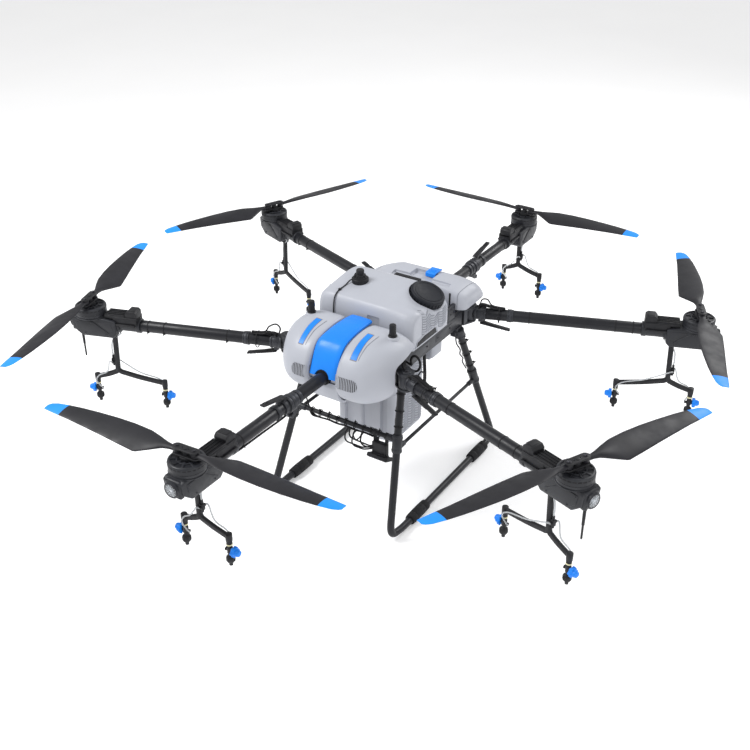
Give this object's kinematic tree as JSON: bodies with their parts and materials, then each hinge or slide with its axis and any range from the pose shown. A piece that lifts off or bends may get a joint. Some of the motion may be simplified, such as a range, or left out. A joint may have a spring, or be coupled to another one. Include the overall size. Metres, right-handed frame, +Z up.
{
  "type": "agricultural spray drone",
  "caption": "Agricultural spray drone: folding arms with rotors and hanging nozzle booms round a liquid tank, battery and tubular landing gear.",
  "frame": {"origin": "centre of the bounding box's bottom, on the ground under the airframe's centre", "axes": "+Z up, -Y towards the nose, +X towards the drone's left side"},
  "size_m": [2.4624, 2.464, 0.872],
  "materials": {
    "carbon": "satin",
    "black_plastic": "satin",
    "dark_metal": "satin",
    "shell": "satin",
    "blue": "satin",
    "blade": "satin",
    "clamp_metal": "satin"
  },
  "bodies": {
    "airframe": {"frame": "dark_metal", "landing_gear_left": "carbon", "landing_gear_right": "carbon", "front_crossbar": "carbon", "side_brace_left": "carbon", "side_brace_right": "carbon", "terrain_radar": "black_plastic", "front_cover": "shell", "center_strip": "blue", "flight_controller": "black_plastic", "antenna_left": "black_plastic", "antenna_right": "black_plastic", "pump": "black_plastic"},
    "tank": {"tank": "shell", "level_sensor": "black_plastic"},
    "tank_cap": {"tank_cap": "black_plastic"},
    "battery": {"battery": "shell"},
    "battery_latch": {"battery_latch": "blue"},
    "arm_A": {"arm_tube_A": "carbon", "motor_mount_A": "black_plastic", "nozzle_boom_A": "black_plastic"},
    "rotor_A": {"rotor_A": "clamp_metal"},
    "blade_A_a": {"blade_A_a": "blade"},
    "blade_A_b": {"blade_A_b": "blade"},
    "latch_A": {"latch_A": "black_plastic"},
    "arm_B": {"arm_tube_B": "carbon", "motor_mount_B": "black_plastic", "nozzle_boom_B": "black_plastic"},
    "rotor_B": {"rotor_B": "clamp_metal"},
    "blade_B_a": {"blade_B_a": "blade"},
    "blade_B_b": {"blade_B_b": "blade"},
    "latch_B": {"latch_B": "black_plastic"},
    "arm_C": {"arm_tube_C": "carbon", "motor_mount_C": "black_plastic", "nozzle_boom_C": "black_plastic"},
    "rotor_C": {"rotor_C": "clamp_metal"},
    "blade_C_a": {"blade_C_a": "blade"},
    "blade_C_b": {"blade_C_b": "blade"},
    "latch_C": {"latch_C": "black_plastic"},
    "arm_D": {"arm_tube_D": "carbon", "motor_mount_D": "black_plastic", "nozzle_boom_D": "black_plastic"},
    "rotor_D": {"rotor_D": "clamp_metal"},
    "blade_D_a": {"blade_D_a": "blade"},
    "blade_D_b": {"blade_D_b": "blade"},
    "latch_D": {"latch_D": "black_plastic"},
    "arm_E": {"arm_tube_E": "carbon", "motor_mount_E": "black_plastic", "nozzle_boom_E": "black_plastic"},
    "rotor_E": {"rotor_E": "clamp_metal"},
    "blade_E_a": {"blade_E_a": "blade"},
    "blade_E_b": {"blade_E_b": "blade"},
    "latch_E": {"latch_E": "black_plastic"},
    "arm_F": {"arm_tube_F": "carbon", "motor_mount_F": "black_plastic", "nozzle_boom_F": "black_plastic"},
    "rotor_F": {"rotor_F": "clamp_metal"},
    "blade_F_a": {"blade_F_a": "blade"},
    "blade_F_b": {"blade_F_b": "blade"},
    "latch_F": {"latch_F": "black_plastic"}
  },
  "joints": [
    {"name": "tank_lift", "type": "slide", "parent": "airframe", "child": "tank", "axis": [0, 0, 1], "range_m": [0, 0.3]},
    {"name": "tank_cap_unscrew", "type": "slide", "parent": "tank", "child": "tank_cap", "axis": [0.3811, 0, 0.9245], "range_m": [0, 0.04]},
    {"name": "battery_lift", "type": "slide", "parent": "airframe", "child": "battery", "axis": [0, 0, 1], "range_m": [0, 0.3]},
    {"name": "battery_latch_flip", "type": "hinge", "parent": "battery", "child": "battery_latch", "pos_m": [0.041, 0.272, 0.7815], "axis": [1, 0, 0], "range_deg": [-40, 0]},
    {"name": "arm_A_fold", "type": "hinge", "parent": "airframe", "child": "arm_A", "pos_m": [0, -0.655, 0.592], "axis": [1, 0, 0], "range_deg": [0, 90]},
    {"name": "rotor_A_spin", "type": "hinge", "parent": "arm_A", "child": "rotor_A", "pos_m": [0, -1.15, 0.669], "axis": [0, 0, -1], "continuous": true},
    {"name": "blade_A_a_fold", "type": "hinge", "parent": "rotor_A", "child": "blade_A_a", "pos_m": [-0.03195, -1.15181, 0.726], "axis": [0, 0, 1], "range_deg": [-70, 0]},
    {"name": "blade_A_b_fold", "type": "hinge", "parent": "rotor_A", "child": "blade_A_b", "pos_m": [0.03195, -1.14819, 0.726], "axis": [0, 0, -1], "range_deg": [-70, 0]},
    {"name": "latch_A_open", "type": "hinge", "parent": "arm_A", "child": "latch_A", "pos_m": [0, -0.675, 0.672], "axis": [-1, 0, 0], "range_deg": [0, 75]},
    {"name": "arm_B_fold", "type": "hinge", "parent": "airframe", "child": "arm_B", "pos_m": [0.255, -0.31, 0.634], "axis": [0, 0, 1], "range_deg": [0, 68]},
    {"name": "rotor_B_spin", "type": "hinge", "parent": "arm_B", "child": "rotor_B", "pos_m": [0.99593, -0.575, 0.669], "axis": [0, 0, 1], "continuous": true},
    {"name": "blade_B_a_fold", "type": "hinge", "parent": "rotor_B", "child": "blade_B_a", "pos_m": [0.98215, -0.60388, 0.726], "axis": [0, 0, 1], "range_deg": [-70, 0]},
    {"name": "blade_B_b_fold", "type": "hinge", "parent": "rotor_B", "child": "blade_B_b", "pos_m": [1.00971, -0.54612, 0.726], "axis": [0, 0, -1], "range_deg": [-70, 0]},
    {"name": "latch_B_open", "type": "hinge", "parent": "arm_B", "child": "latch_B", "pos_m": [0.3002, -0.32616, 0.596], "axis": [0.3368, 0.9416, 0], "range_deg": [0, 75]},
    {"name": "arm_C_fold", "type": "hinge", "parent": "airframe", "child": "arm_C", "pos_m": [0.19, 0.27, 0.634], "axis": [0, 0, 1], "range_deg": [-55, 0]},
    {"name": "rotor_C_spin", "type": "hinge", "parent": "arm_C", "child": "rotor_C", "pos_m": [0.99593, 0.575, 0.669], "axis": [0, 0, -1], "continuous": true},
    {"name": "blade_C_a_fold", "type": "hinge", "parent": "rotor_C", "child": "blade_C_a", "pos_m": [0.98215, 0.60388, 0.726], "axis": [0, 0, -1], "range_deg": [-70, 0]},
    {"name": "blade_C_b_fold", "type": "hinge", "parent": "rotor_C", "child": "blade_C_b", "pos_m": [1.00971, 0.54612, 0.726], "axis": [0, 0, 1], "range_deg": [-70, 0]},
    {"name": "latch_C_open", "type": "hinge", "parent": "arm_C", "child": "latch_C", "pos_m": [0.23489, 0.28699, 0.596], "axis": [-0.3539, 0.9353, 0], "range_deg": [0, 75]},
    {"name": "arm_D_fold", "type": "hinge", "parent": "airframe", "child": "arm_D", "pos_m": [0, 0.655, 0.592], "axis": [-1, 0, 0], "range_deg": [0, 90]},
    {"name": "rotor_D_spin", "type": "hinge", "parent": "arm_D", "child": "rotor_D", "pos_m": [0, 1.15, 0.669], "axis": [0, 0, 1], "continuous": true},
    {"name": "blade_D_a_fold", "type": "hinge", "parent": "rotor_D", "child": "blade_D_a", "pos_m": [-0.03198, 1.15126, 0.726], "axis": [0, 0, -1], "range_deg": [-70, 0]},
    {"name": "blade_D_b_fold", "type": "hinge", "parent": "rotor_D", "child": "blade_D_b", "pos_m": [0.03198, 1.14874, 0.726], "axis": [0, 0, 1], "range_deg": [-70, 0]},
    {"name": "latch_D_open", "type": "hinge", "parent": "arm_D", "child": "latch_D", "pos_m": [0, 0.675, 0.672], "axis": [1, 0, 0], "range_deg": [0, 75]},
    {"name": "arm_E_fold", "type": "hinge", "parent": "airframe", "child": "arm_E", "pos_m": [-0.19, 0.27, 0.634], "axis": [0, 0, -1], "range_deg": [-55, 0]},
    {"name": "rotor_E_spin", "type": "hinge", "parent": "arm_E", "child": "rotor_E", "pos_m": [-0.99593, 0.575, 0.669], "axis": [0, 0, 1], "continuous": true},
    {"name": "blade_E_a_fold", "type": "hinge", "parent": "rotor_E", "child": "blade_E_a", "pos_m": [-1.00714, 0.54503, 0.726], "axis": [0, 0, -1], "range_deg": [-70, 0]},
    {"name": "blade_E_b_fold", "type": "hinge", "parent": "rotor_E", "child": "blade_E_b", "pos_m": [-0.98472, 0.60497, 0.726], "axis": [0, 0, 1], "range_deg": [-70, 0]},
    {"name": "latch_E_open", "type": "hinge", "parent": "arm_E", "child": "latch_E", "pos_m": [-0.23489, 0.28699, 0.672], "axis": [0.3539, 0.9353, 0], "range_deg": [0, 75]},
    {"name": "arm_F_fold", "type": "hinge", "parent": "airframe", "child": "arm_F", "pos_m": [-0.255, -0.31, 0.634], "axis": [0, 0, -1], "range_deg": [0, 68]},
    {"name": "rotor_F_spin", "type": "hinge", "parent": "arm_F", "child": "rotor_F", "pos_m": [-0.99593, -0.575, 0.669], "axis": [0, 0, -1], "continuous": true},
    {"name": "blade_F_a_fold", "type": "hinge", "parent": "rotor_F", "child": "blade_F_a", "pos_m": [-1.00608, -0.54465, 0.726], "axis": [0, 0, 1], "range_deg": [-70, 0]},
    {"name": "blade_F_b_fold", "type": "hinge", "parent": "rotor_F", "child": "blade_F_b", "pos_m": [-0.98577, -0.60535, 0.726], "axis": [0, 0, -1], "range_deg": [-70, 0]},
    {"name": "latch_F_open", "type": "hinge", "parent": "arm_F", "child": "latch_F", "pos_m": [-0.3002, -0.32616, 0.596], "axis": [0.3368, -0.9416, 0], "range_deg": [0, 75]}
  ]
}
